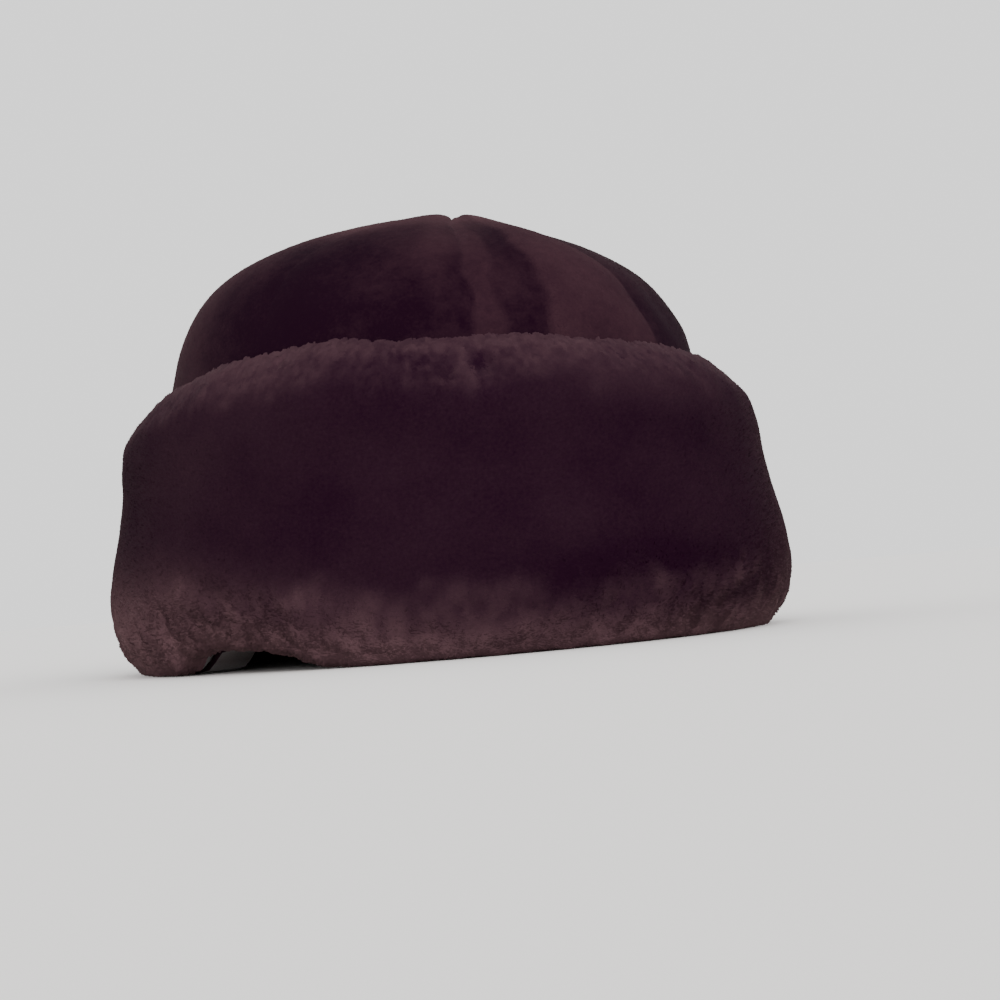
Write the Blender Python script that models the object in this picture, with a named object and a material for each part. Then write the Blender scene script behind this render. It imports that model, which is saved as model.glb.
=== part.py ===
"""A sheared sheepskin hat: a low dome of eight gores inside a deep, thick turned-up cuff.

The hat rests on its hem and on the cuff's lower fold, on the plane Z = 0, with its front facing -Y.
Lengths are in metres. Azimuths are in degrees, from the front towards +X.
"""

import math
from collections import namedtuple

import bmesh
import bpy
from mathutils import Vector, noise

NAME = "shearling_hat"

# The oval of the head
LENGTH_TO_WIDTH = 1.07

# The crown
GORES = 8
FRONT_SEAM = 0.0
SEAM_GAP = 0.0003
SEAM_GROOVE = 0.0007
SEAM_GROOVE_SHARPNESS = 6
GROOVE_FULL_REACH = 0.012
GROOVE_FULL_SWELL = 0.0013
SWELL_GROWS_OVER = 0.014
WALL_TOP = 0.012
WALL_HEM = 0.0145
WALL_THICKENS_FROM = 0.5
WALL_UPRIGHT_FROM = 0.85
LEAST_REACH = 0.0006
CUFF_JUNCTION = 0.104
CROWN_LEAN = math.radians(4.8)
LEAN_STARTS = 0.066

# From the top of the dome to the hem: how far out the seams lie, how far the rings are moved
# towards +X, and how far a gore swells between its seams.
CrownRow = namedtuple("CrownRow", "height reach shift swell")
CROWN_ROWS = (
    CrownRow(0.1664, 0.0010, 0.0072, 0.0000),
    CrownRow(0.1660, 0.0080, 0.0066, 0.0014),
    CrownRow(0.1637, 0.0200, 0.0042, 0.0020),
    CrownRow(0.1578, 0.0400, 0.0010, 0.0020),
    CrownRow(0.1500, 0.0615, 0.0000, 0.0021),
    CrownRow(0.1400, 0.0790, 0.0000, 0.0021),
    CrownRow(0.1275, 0.0905, 0.0000, 0.0020),
    CrownRow(0.1120, 0.0986, 0.0008, 0.0013),
    CrownRow(0.0930, 0.1026, 0.0008, 0.0000),
    CrownRow(0.0500, 0.1048, 0.0000, 0.0000),
    CrownRow(0.0000, 0.1060, 0.0000, 0.0000),
)
CROWN_STEPS = 18
SLOPE_STEP = 0.004
# Places across a gore, from seam to seam: closer together beside the seams
GORE_COLUMNS = (-1.0, -0.90, -0.70, -0.36, 0.0, 0.36, 0.70, 0.90, 1.0)

# Soft hollows pressed into the crown
Dent = namedtuple("Dent", "azimuth height spread_azimuth spread_height depth")
DENTS = (
    Dent(-27.0, 0.136, 13.0, 0.020, 0.0026),
    Dent(10.0, 0.134, 5.0, 0.030, 0.0016),
    Dent(58.0, 0.126, 6.0, 0.018, 0.0018),
    Dent(-92.0, 0.150, 34.0, 0.012, 0.0024),
    Dent(150.0, 0.138, 16.0, 0.020, 0.0020),
    Dent(-118.0, 0.132, 14.0, 0.018, 0.0018),
)

# The cuff: up its outer side, how far it stands off the crown's wall, and how much its fleece
# clumps. The first rows are the flat that it rests on.
CUFF_CLEARANCE = 0.0006
CUFF_TOP = 0.1055
CuffRow = namedtuple("CuffRow", "height stand clump")
CUFF_ROWS = (
    CuffRow(0.0000, 0.0042, 0.00),
    CuffRow(0.0000, 0.0120, 0.00),
    CuffRow(0.0045, 0.0165, 0.60),
    CuffRow(0.0110, 0.0206, 1.00),
    CuffRow(0.0190, 0.0236, 1.00),
    CuffRow(0.0280, 0.0246, 0.60),
    CuffRow(0.0400, 0.0233, 0.20),
    CuffRow(0.0540, 0.0204, 0.10),
    CuffRow(0.0680, 0.0186, 0.10),
    CuffRow(0.0800, 0.0184, 0.30),
    CuffRow(0.0890, 0.0168, 0.80),
    CuffRow(0.0960, 0.0124, 1.00),
    CuffRow(0.1015, 0.0076, 1.00),
    CuffRow(0.1050, 0.0034, 1.00),
)
CUFF_INNER_HEIGHTS = (0.1045, 0.0930, 0.0715, 0.0500, 0.0250, 0.0030)
LEAST_WALL_HEIGHT = 0.001
WALL_SEARCH = (0.5, 1.0)
WALL_HALVINGS = 20
CUFF_SIDES = 96
CLUMP_DEPTH = 0.0011
CLUMP_LENGTH = 0.012

# How much higher or lower the cuff's free edge runs, by azimuth
LevelRow = namedtuple("LevelRow", "azimuth level")
EDGE_ROWS = (
    LevelRow(-180.0, -0.0020),
    LevelRow(-100.0, -0.0068),
    LevelRow(-68.0, -0.0016),
    LevelRow(-46.0, 0.0026),
    LevelRow(-28.0, 0.0038),
    LevelRow(-13.0, 0.0010),
    LevelRow(9.0, 0.0008),
    LevelRow(20.0, -0.0012),
    LevelRow(36.0, -0.0026),
    LevelRow(68.0, -0.0048),
    LevelRow(110.0, -0.0044),
    LevelRow(180.0, -0.0020),
)
EDGE_FADES_OVER = 0.050

# The parting where the cuff's two ends are sewn together
CUFF_SEAM = -4.0
PARTING_DEPTH = 0.0045
PARTING_WIDTH = 5.5
PARTING_FADES_OVER = 0.034
PARTING_FULL_STAND = 0.012

# How far the hem and the fold are lifted off the surface, by azimuth
LIFT_ROWS = (
    LevelRow(-72.0, 0.0000),
    LevelRow(-64.0, 0.0014),
    LevelRow(-59.0, 0.0074),
    LevelRow(-52.0, 0.0096),
    LevelRow(-43.0, 0.0088),
    LevelRow(-36.0, 0.0060),
    LevelRow(-30.0, 0.0022),
    LevelRow(-23.0, 0.0000),
)
LIFT_FADES_OVER = 0.055

BROWN_CROWN = (0.022, 0.0095, 0.0155, 1.0)
BROWN_CUFF = (0.026, 0.0115, 0.0180, 1.0)
FLEECE_ROUGHNESS = 0.95
FLEECE_SHEEN = 0.4
SHARP_ANGLE = math.radians(50.0)


def ease(share):
    """A share from 0 to 1, with soft ends."""
    share = min(max(share, 0.0), 1.0)
    return share * share * (3.0 - 2.0 * share)


def crown_row(place):
    """The crown's section at a place from 0 to 1 down its table, on a smooth curve."""
    span = place * (len(CROWN_ROWS) - 1)
    first = min(int(span), len(CROWN_ROWS) - 2)
    t = span - first
    before = CROWN_ROWS[max(first - 1, 0)]
    after = CROWN_ROWS[min(first + 2, len(CROWN_ROWS) - 1)]
    columns = zip(before, CROWN_ROWS[first], CROWN_ROWS[first + 1], after)
    return CrownRow(*(
        0.5 * (2.0 * b + (c - a) * t + (2.0 * a - 5.0 * b + 4.0 * c - d) * t * t
               + (3.0 * b - a - 3.0 * c + d) * t ** 3)
        for a, b, c, d in columns
    ))


def level_at(rows, azimuth):
    """The level from a table by azimuth, on soft steps between its rows."""
    for low, high in zip(rows, rows[1:]):
        if low.azimuth <= azimuth <= high.azimuth:
            share = ease((azimuth - low.azimuth) / (high.azimuth - low.azimuth))
            return low.level + (high.level - low.level) * share
    return 0.0


def lift_at(azimuth, height):
    """How far a point near the hem is raised, fading to nothing further up."""
    return level_at(LIFT_ROWS, azimuth) * (1.0 - ease(height / LIFT_FADES_OVER))


def rise_at(azimuth, height):
    """How far a point near the cuff's free edge is raised, fading to nothing further down."""
    return level_at(EDGE_ROWS, azimuth) * ease(1.0 - (CUFF_TOP - height) / EDGE_FADES_OVER)


def signed(azimuth):
    """The same azimuth, between -180 and 180."""
    return (azimuth + 180.0) % 360.0 - 180.0


def dented(azimuth, height):
    """The depth of the soft hollows at a place on the crown."""
    depth = 0.0
    for dent in DENTS:
        across = signed(azimuth - dent.azimuth) / dent.spread_azimuth
        up = (height - dent.height) / dent.spread_height
        depth += dent.depth * math.exp(-across * across - up * up)
    return depth


def lean(point):
    """The crown's lean over its rim, which grows from nothing low in the cuff."""
    angle = CROWN_LEAN * ease((point.z - LEAN_STARTS) / (CUFF_JUNCTION - LEAN_STARTS))
    up = point.z - CUFF_JUNCTION
    return Vector((
        point.x * math.cos(angle) + up * math.sin(angle),
        point.y,
        CUFF_JUNCTION - point.x * math.sin(angle) + up * math.cos(angle),
    ))


def crown_point(azimuth, place, outward, across=0.0):
    """A point of the crown: place runs from the top, 0, to the hem, 1, and outward is its distance
    from the surface through the seams. Across runs over a gore, from seam to seam."""
    row = crown_row(place)
    above = crown_row(max(place - SLOPE_STEP, 0.0))
    below = crown_row(min(place + SLOPE_STEP, 1.0))
    upright = ease((place - WALL_UPRIGHT_FROM) / (1.0 - WALL_UPRIGHT_FROM))
    slope = math.atan2(below.reach - above.reach, above.height - below.height) * (1.0 - upright)
    reach = max(row.reach + outward * math.cos(slope), LEAST_REACH)
    height = row.height + outward * math.sin(slope)
    angle = math.radians(azimuth)
    around = Vector((math.sin(angle), -math.cos(angle) * LENGTH_TO_WIDTH, 0.0))
    along = Vector((math.cos(angle), math.sin(angle), 0.0))
    point = around * reach + along * (-across * SEAM_GAP / 2.0)
    point += Vector((row.shift, 0.0, height + lift_at(signed(azimuth), height)))
    return lean(point)


def gore_swell(azimuth, place, across):
    """How far a gore's fleece stands off the surface through the seams."""
    row = crown_row(place)
    full = ease(row.reach / GROOVE_FULL_REACH) * min(row.swell / GROOVE_FULL_SWELL, 1.0)
    rounded = (1.0 - across ** SEAM_GROOVE_SHARPNESS) * full
    bulge = row.swell * (1.0 - across * across) - SEAM_GROOVE * (1.0 - rounded)
    risen = crown_point(azimuth, place, 0.0).z - cuff_height(azimuth, CUFF_TOP)
    return (bulge - dented(azimuth, row.height)) * ease(risen / SWELL_GROWS_OVER)


def wall_thickness(place):
    """The thickness of the crown's wall, which grows a little towards the hem."""
    share = (place - WALL_THICKENS_FROM) / (1.0 - WALL_THICKENS_FROM)
    return WALL_TOP + (WALL_HEM - WALL_TOP) * ease(share)


def gore_point(middle, flat, is_outside):
    """The place on the crown of a point of a gore's flat grid."""
    width = 360.0 / GORES
    across = GORE_COLUMNS[round((flat.x + 0.5) * (len(GORE_COLUMNS) - 1))]
    place = 0.5 - flat.y
    azimuth = middle + across * width / 2.0
    if is_outside:
        return crown_point(azimuth, place, gore_swell(azimuth, place, across), across)
    return crown_point(azimuth, place, -wall_thickness(place), across)


def crown_gore(number):
    """One gore: a flat grid, thickened, and bent onto its share of the crown."""
    middle = FRONT_SEAM + 360.0 / GORES * (number - 0.5)
    shape = bmesh.new()
    bmesh.ops.create_grid(shape, x_segments=len(GORE_COLUMNS) - 1, y_segments=CROWN_STEPS, size=0.5)
    outside = list(shape.verts)
    thickened = bmesh.ops.extrude_face_region(shape, geom=shape.faces[:])
    inside = [part for part in thickened["geom"] if isinstance(part, bmesh.types.BMVert)]
    for vertex in outside:
        vertex.co = gore_point(middle, vertex.co, True)
    for vertex in inside:
        vertex.co = gore_point(middle, vertex.co, False)
    bmesh.ops.recalc_face_normals(shape, faces=shape.faces[:])
    return shape


def cuff_outward(azimuth, row):
    """How far the cuff's outer side stands off the crown's wall, with its clumps and its parting."""
    angle = math.radians(azimuth)
    reach = CROWN_ROWS[-1].reach / CLUMP_LENGTH
    place = Vector((math.sin(angle) * reach, -math.cos(angle) * reach, row.height / CLUMP_LENGTH))
    clump = noise.noise(place) * CLUMP_DEPTH * row.clump
    away = signed(azimuth - CUFF_SEAM) / PARTING_WIDTH
    high = ease(1.0 - (CUFF_TOP - row.height) / PARTING_FADES_OVER)
    full = min(row.stand / PARTING_FULL_STAND, 1.0)
    return row.stand + clump - PARTING_DEPTH * math.exp(-away * away) * high * full


def wall_at(azimuth, height, outward):
    """The point at a height on the crown's wall, or at a distance outside it."""
    low, high = WALL_SEARCH
    for halving in range(WALL_HALVINGS):
        middle = (low + high) / 2.0
        if crown_point(azimuth, middle, outward).z > height:
            low = middle
        else:
            high = middle
    return crown_point(azimuth, high, outward)


def cuff_height(azimuth, height):
    """A height on the cuff, with its fold's lift and its free edge's rise."""
    azimuth = signed(azimuth)
    return height + lift_at(azimuth, height) + rise_at(azimuth, height)


def cuff_ring(azimuth):
    """One section through the cuff: up its outer side, and down its inner side by the crown."""
    angle = math.radians(azimuth)
    around = Vector((math.sin(angle), -math.cos(angle), 0.0))
    ring = []
    for row in CUFF_ROWS:
        height = cuff_height(azimuth, row.height)
        wall = wall_at(azimuth, max(height, LEAST_WALL_HEIGHT), 0.0)
        point = wall + around * cuff_outward(azimuth, row)
        point.z = height
        ring.append(point)
    for height in CUFF_INNER_HEIGHTS:
        ring.append(wall_at(azimuth, cuff_height(azimuth, height), CUFF_CLEARANCE))
    return ring


def cuff_shape():
    """The cuff: a ring of sections joined all round."""
    shape = bmesh.new()
    rings = []
    for side in range(CUFF_SIDES):
        ring = cuff_ring(360.0 * side / CUFF_SIDES + CUFF_SEAM)
        rings.append([shape.verts.new(point) for point in ring])
    for here, there in zip(rings, rings[1:] + rings[:1]):
        for step in range(len(here)):
            shape.faces.new((here[step - 1], there[step - 1], there[step], here[step]))
    bmesh.ops.recalc_face_normals(shape, faces=shape.faces[:])
    return shape


def fleece(name, colour):
    """A matt, deep brown fleece."""
    material = bpy.data.materials.new(name)
    material.use_nodes = True
    shader = material.node_tree.nodes["Principled BSDF"]
    shader.inputs["Base Color"].default_value = colour
    shader.inputs["Roughness"].default_value = FLEECE_ROUGHNESS
    shader.inputs["Metallic"].default_value = 0.0
    shader.inputs["Sheen Weight"].default_value = FLEECE_SHEEN
    return material


def add_piece(name, shape, material, collection):
    """One named object from a finished shape, split into triangles and shaded smooth."""
    bmesh.ops.triangulate(shape, faces=shape.faces[:])
    mesh = bpy.data.meshes.new(name)
    shape.to_mesh(mesh)
    shape.free()
    mesh.materials.append(material)
    mesh.shade_smooth()
    mesh.set_sharp_from_angle(angle=SHARP_ANGLE)
    piece = bpy.data.objects.new(name, mesh)
    collection.objects.link(piece)


def clear_scene():
    """An empty scene."""
    for thing in list(bpy.data.objects):
        bpy.data.objects.remove(thing, do_unlink=True)


def build():
    """The whole hat."""
    clear_scene()
    collection = bpy.data.collections.new(NAME)
    bpy.context.scene.collection.children.link(collection)
    crown_fleece = fleece("crown_fleece", BROWN_CROWN)
    cuff_fleece = fleece("cuff_fleece", BROWN_CUFF)
    for number in range(1, GORES + 1):
        add_piece(f"crown_gore_{number}", crown_gore(number), crown_fleece, collection)
    add_piece("cuff", cuff_shape(), cuff_fleece, collection)


build()
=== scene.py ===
"""The looks of a sheared sheepskin hat: a low dome of eight gores in a deep turned-up cuff.

The hat stands on the plane Z = 0 with its front facing -Y. Lengths are in metres. Azimuths are
in degrees, from the front towards +X. Each gore and the cuff is a skin with its pile grown on it.
"""

import logging
import math
from dataclasses import dataclass
from enum import Enum
from typing import NamedTuple

import bpy
import numpy as np
from mathutils import Matrix, Vector, noise


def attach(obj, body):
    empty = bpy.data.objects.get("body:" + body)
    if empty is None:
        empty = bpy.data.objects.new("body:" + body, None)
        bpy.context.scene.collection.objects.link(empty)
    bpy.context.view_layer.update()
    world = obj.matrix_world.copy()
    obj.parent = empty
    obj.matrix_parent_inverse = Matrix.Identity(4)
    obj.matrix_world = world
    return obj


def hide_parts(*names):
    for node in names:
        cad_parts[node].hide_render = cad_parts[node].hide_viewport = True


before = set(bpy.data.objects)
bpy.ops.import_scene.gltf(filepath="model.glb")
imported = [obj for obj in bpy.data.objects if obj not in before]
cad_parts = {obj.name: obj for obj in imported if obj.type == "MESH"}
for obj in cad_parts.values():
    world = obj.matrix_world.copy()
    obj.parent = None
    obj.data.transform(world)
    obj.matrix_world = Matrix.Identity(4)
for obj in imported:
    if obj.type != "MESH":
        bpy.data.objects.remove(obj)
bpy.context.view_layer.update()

LOG = logging.getLogger("hat")
Array = np.ndarray
BAKE_MAP = "OFBake"
MOTTLE_SEED = 7

# The oval of the head, the crown and the cuff, as they are modelled in the solids
LENGTH_TO_WIDTH = 1.07
GORES = 8


def rows_of(kind: type, *rows: tuple) -> tuple:
    """A table's rows, each with its columns named."""
    return tuple(kind(*row) for row in rows)


class CrownRow(NamedTuple):
    """A level of the crown: its height, how far out it lies, its shift to +X and its swell."""

    height: float
    reach: float
    shift: float
    swell: float


CROWN_ROWS = rows_of(
    CrownRow,
    (0.1664, 0.0010, 0.0072, 0.0000),
    (0.1660, 0.0080, 0.0066, 0.0014),
    (0.1637, 0.0200, 0.0042, 0.0020),
    (0.1578, 0.0400, 0.0010, 0.0020),
    (0.1500, 0.0615, 0.0000, 0.0021),
    (0.1400, 0.0790, 0.0000, 0.0021),
    (0.1275, 0.0905, 0.0000, 0.0020),
    (0.1120, 0.0986, 0.0008, 0.0013),
    (0.0930, 0.1026, 0.0008, 0.0000),
    (0.0500, 0.1048, 0.0000, 0.0000),
    (0.0000, 0.1060, 0.0000, 0.0000),
)


class Spot(NamedTuple):
    """A soft spot: a dent, by its depth in metres, or a patch painted lighter or darker, which may
    be painted light or shade.
    """

    azimuth: float
    height: float
    spread_azimuth: float
    spread_height: float
    amount: float


CROWN_DENTS = rows_of(
    Spot,
    (-27.0, 0.136, 13.0, 0.020, 0.0026),
    (10.0, 0.134, 5.0, 0.030, 0.0016),
    (58.0, 0.126, 6.0, 0.018, 0.0018),
    (-92.0, 0.150, 34.0, 0.012, 0.0024),
    (150.0, 0.138, 16.0, 0.020, 0.0020),
    (-118.0, 0.132, 14.0, 0.018, 0.0018),
)
# Small pits where the cuff's pile opens, beside the parting and under the free edge
CUFF_PITS = rows_of(
    Spot,
    (1.2, 0.0950, 1.7, 0.0032, 0.0026),
    (-5.4, 0.0925, 0.9, 0.0022, 0.0018),
    (-36.0, 0.1000, 0.8, 0.0020, 0.0016),
    (24.0, 0.0990, 0.8, 0.0020, 0.0012),
    (150.0, 0.0940, 1.0, 0.0026, 0.0020),
    (-124.0, 0.0905, 1.0, 0.0024, 0.0016),
)


class CuffRow(NamedTuple):
    """A level of the cuff's outer side: how far it stands off the crown, and how it clumps."""

    height: float
    stand: float
    clump: float


CUFF_ROWS = rows_of(
    CuffRow,
    (0.0000, 0.0042, 0.00),
    (0.0000, 0.0120, 0.00),
    (0.0045, 0.0165, 0.60),
    (0.0110, 0.0206, 1.00),
    (0.0190, 0.0236, 1.00),
    (0.0280, 0.0246, 0.60),
    (0.0400, 0.0233, 0.20),
    (0.0540, 0.0204, 0.10),
    (0.0680, 0.0186, 0.10),
    (0.0800, 0.0184, 0.30),
    (0.0890, 0.0168, 0.80),
    (0.0960, 0.0124, 1.00),
    (0.1015, 0.0076, 1.00),
    (0.1050, 0.0034, 1.00),
)


class Level(NamedTuple):
    """A value at an azimuth, eased between its neighbours."""

    azimuth: float
    level: float


EDGE_ROWS = rows_of(
    Level,
    (-180.0, -0.0020), (-100.0, -0.0068), (-68.0, -0.0016), (-46.0, 0.0026),
    (-28.0, 0.0038), (-13.0, 0.0010), (9.0, 0.0008), (20.0, -0.0012),
    (36.0, -0.0026), (68.0, -0.0048), (110.0, -0.0044), (180.0, -0.0020),
)
LIFT_ROWS = rows_of(
    Level,
    (-180.0, 0.0), (-72.0, 0.0), (-64.0, 0.0014), (-59.0, 0.0074),
    (-52.0, 0.0096), (-43.0, 0.0088), (-36.0, 0.0060), (-30.0, 0.0022),
    (-23.0, 0.0), (180.0, 0.0),
)

# How light the pile is painted round the crown, from 0 to 1, in steps where the nap turns: painted
# sheen where the brushed nap catches the light, and painted shade in the crown's folds
CROWN_SHEEN_AND_SHADE_TONES = rows_of(
    Level,
    (-180.0, 0.26), (-150.0, 0.40), (-136.0, 0.32), (-134.0, 0.16),
    (-104.0, 0.20), (-90.0, 0.26), (-68.0, 0.17), (-56.0, 0.08),
    (-45.0, 0.02), (-28.0, 0.02), (-13.0, 0.07), (-7.0, 0.12),
    (-1.0, 0.08), (0.8, 0.17), (4.4, 0.17), (7.2, 0.08),
    (13.2, 0.05), (17.0, 0.20), (30.0, 0.21), (44.2, 0.20),
    (45.6, 0.10), (62.0, 0.10), (88.0, 0.26), (91.0, 0.18),
    (120.0, 0.22), (133.0, 0.36), (137.0, 0.20), (165.0, 0.36),
    (180.0, 0.26),
)

# Where the pile is painted lighter, or darker when the amount is below nought. The rows marked
# below are painted light, sheen or shade; the others are lighter or darker patches of the nap

CROWN_SHADE_AND_SHEEN_PATCHES = rows_of(
    Spot,
    # painted shadow on the crown just above the cuff's edge
    (-11.0, 0.114, 9.0, 0.010, -0.12),
    (-6.0, 0.146, 7.0, 0.012, 0.05),
    # painted shade in the fold at the dent at 58 degrees
    (58.0, 0.114, 16.0, 0.026, -0.10),
    (-44.0, 0.122, 14.0, 0.018, -0.08),
    # painted sheen along the crown's upper left rim
    (-38.0, 0.158, 24.0, 0.008, 0.10),
    (-66.0, 0.142, 10.0, 0.016, 0.05),
)
CUFF_LIGHT_AND_SHADE_PATCHES = rows_of(
    Spot,
    (-42.0, 0.098, 14.0, 0.012, 0.08),
    (-12.0, 0.096, 8.0, 0.010, -0.05),
    (18.0, 0.099, 14.0, 0.010, 0.05),
    (32.0, 0.087, 16.0, 0.008, 0.07),
    (-56.0, 0.070, 16.0, 0.022, 0.07),
    # painted light on the cuff's low left corner, which turns away from the front light
    (-76.0, 0.018, 28.0, 0.018, 0.68),
    (30.0, 0.012, 18.0, 0.012, -0.06),
    (-14.0, 0.045, 9.0, 0.024, 0.015),
    (24.0, 0.027, 20.0, 0.007, -0.05),
    # this row and the next: painted light on the cuff's right end, which turns away from the front
    # light
    (64.0, 0.020, 14.0, 0.018, 0.12),
    (68.0, 0.060, 9.0, 0.035, 0.05),
    # painted light on the underside of the fold, which curves into shade above the arch
    (-26.0, 0.008, 12.0, 0.012, 0.20),
    # this row and the next: painted shade in the pits beside the parting
    (0.3, 0.0955, 1.5, 0.0040, -0.10),
    (-5.6, 0.0920, 0.8, 0.0020, -0.03),
    # this row and the next: painted highlight on the raised lip beside the parting
    (-3.4, 0.0960, 1.1, 0.0040, 0.12),
    (-2.3, 0.0890, 1.1, 0.0050, 0.10),
    (125.0, 0.050, 26.0, 0.020, 0.08),
    (-150.0, 0.060, 24.0, 0.024, 0.08),
)


class Fleece(Enum):
    """The record's slots, by the part of the hat that wears them."""

    CROWN = "crown_fleece"
    CUFF = "cuff_fleece"


class Face(Enum):
    """The sides of a sheepskin, in the order of a piece's materials."""

    PILE = 0
    SKIN = 1


def ease(share: Array) -> Array:
    """A share from 0 to 1, with soft ends."""
    share = np.clip(share, 0.0, 1.0)
    return share * share * (3.0 - 2.0 * share)


class Rise(NamedTuple):
    """A soft rise from 0 to 1: where it starts, and how far it takes."""

    start: float
    over: float

    def at(self, value: Array) -> Array:
        """How far it has risen at a value."""
        return ease((value - self.start) / self.over)


def unit(vectors: Array) -> Array:
    """The same directions, one long."""
    return vectors / np.maximum(np.linalg.norm(vectors, axis=-1, keepdims=True), 1e-12)


def signed(azimuth: Array) -> Array:
    """The same azimuth, between -180 and 180."""
    return (azimuth + 180.0) % 360.0 - 180.0


def along_table(rows: tuple, place: Array) -> Array:
    """A table's row at a place from 0 to 1 down it, on a smooth curve.

    Args:
        rows: the table, of named columns.
        place: how far down it each wanted row is.

    Returns:
        One row of columns for each place.
    """
    table = np.array(rows, float)
    span = np.clip(place, 0.0, 1.0) * (len(table) - 1)
    first = np.clip(span.astype(int), 0, len(table) - 2)
    t = (span - first)[..., None]
    a = table[np.maximum(first - 1, 0)]
    b = table[first]
    c = table[first + 1]
    d = table[np.minimum(first + 2, len(table) - 1)]
    return 0.5 * (2.0 * b + (c - a) * t + (2.0 * a - 5.0 * b + 4.0 * c - d) * t ** 2
                  + (3.0 * b - a - 3.0 * c + d) * t ** 3)


def level_at(rows: tuple, azimuth: Array) -> Array:
    """The level at each azimuth, on soft steps between a table's rows."""
    azimuths = np.array([row.azimuth for row in rows])
    levels = np.array([row.level for row in rows])
    after = np.clip(np.searchsorted(azimuths, azimuth), 1, len(rows) - 1)
    span = azimuths[after] - azimuths[after - 1]
    share = ease((azimuth - azimuths[after - 1]) / span)
    return levels[after - 1] + (levels[after] - levels[after - 1]) * share


def soft_spots(rows: tuple, azimuth: Array, height: Array) -> Array:
    """The sum of a table's dents or patches at places on the hat."""
    total = np.zeros(np.broadcast(azimuth, height).shape)
    for row in rows:
        across = signed(azimuth - row.azimuth) / row.spread_azimuth
        up = (height - row.height) / row.spread_height
        total += row.amount * np.exp(-across * across - up * up)
    return total


class Mottle:
    """Smooth random values through space, the same on each run."""

    CELLS = 32

    def __init__(self, seed: int) -> None:
        """Draws the lattice of values from a seed."""
        self.values = np.random.default_rng(seed).random((self.CELLS,) * 3)
        self.offsets = np.random.default_rng(seed + 1).random((self.CELLS,) * 3 + (3,))

    def at(self, points: Array, size: float) -> Array:
        """Values from -1 to 1 at the points.

        Args:
            points: where, in metres.
            size: the distance between the lattice's values, in metres.

        Returns:
            One value for each point.
        """
        scaled = points / size
        low = np.floor(scaled).astype(int)
        part = ease(scaled - low)
        total = np.zeros(len(points))
        for corner in np.ndindex(2, 2, 2):
            step = np.array(corner)
            weight = np.where(step == 1, part, 1.0 - part).prod(axis=1)
            x, y, z = ((low + step) % self.CELLS).T
            total += weight * self.values[x, y, z]
        return total * 2.0 - 1.0

    def lock(self, points: Array, size: float) -> tuple[Array, Array]:
        """The lock that each point belongs to.

        Args:
            points: where, in metres.
            size: how wide a lock is, in metres.

        Returns:
            The way from each point to its lock's middle, in metres, and a value from -1 to 1
            that all of a lock's points share.
        """
        scaled = points / size
        low = np.floor(scaled).astype(int)
        best = np.full(len(points), np.inf)
        way = np.zeros((len(points), 3))
        value = np.zeros(len(points))
        for corner in np.ndindex(3, 3, 3):
            cell = low + np.array(corner) - 1
            x, y, z = (cell % self.CELLS).T
            gap = cell + self.offsets[x, y, z] - scaled
            far = (gap * gap).sum(axis=1)
            closer = far < best
            best[closer] = far[closer]
            way[closer] = gap[closer]
            value[closer] = self.values[x, y, z][closer]
        return way * size, value * 2.0 - 1.0


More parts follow.
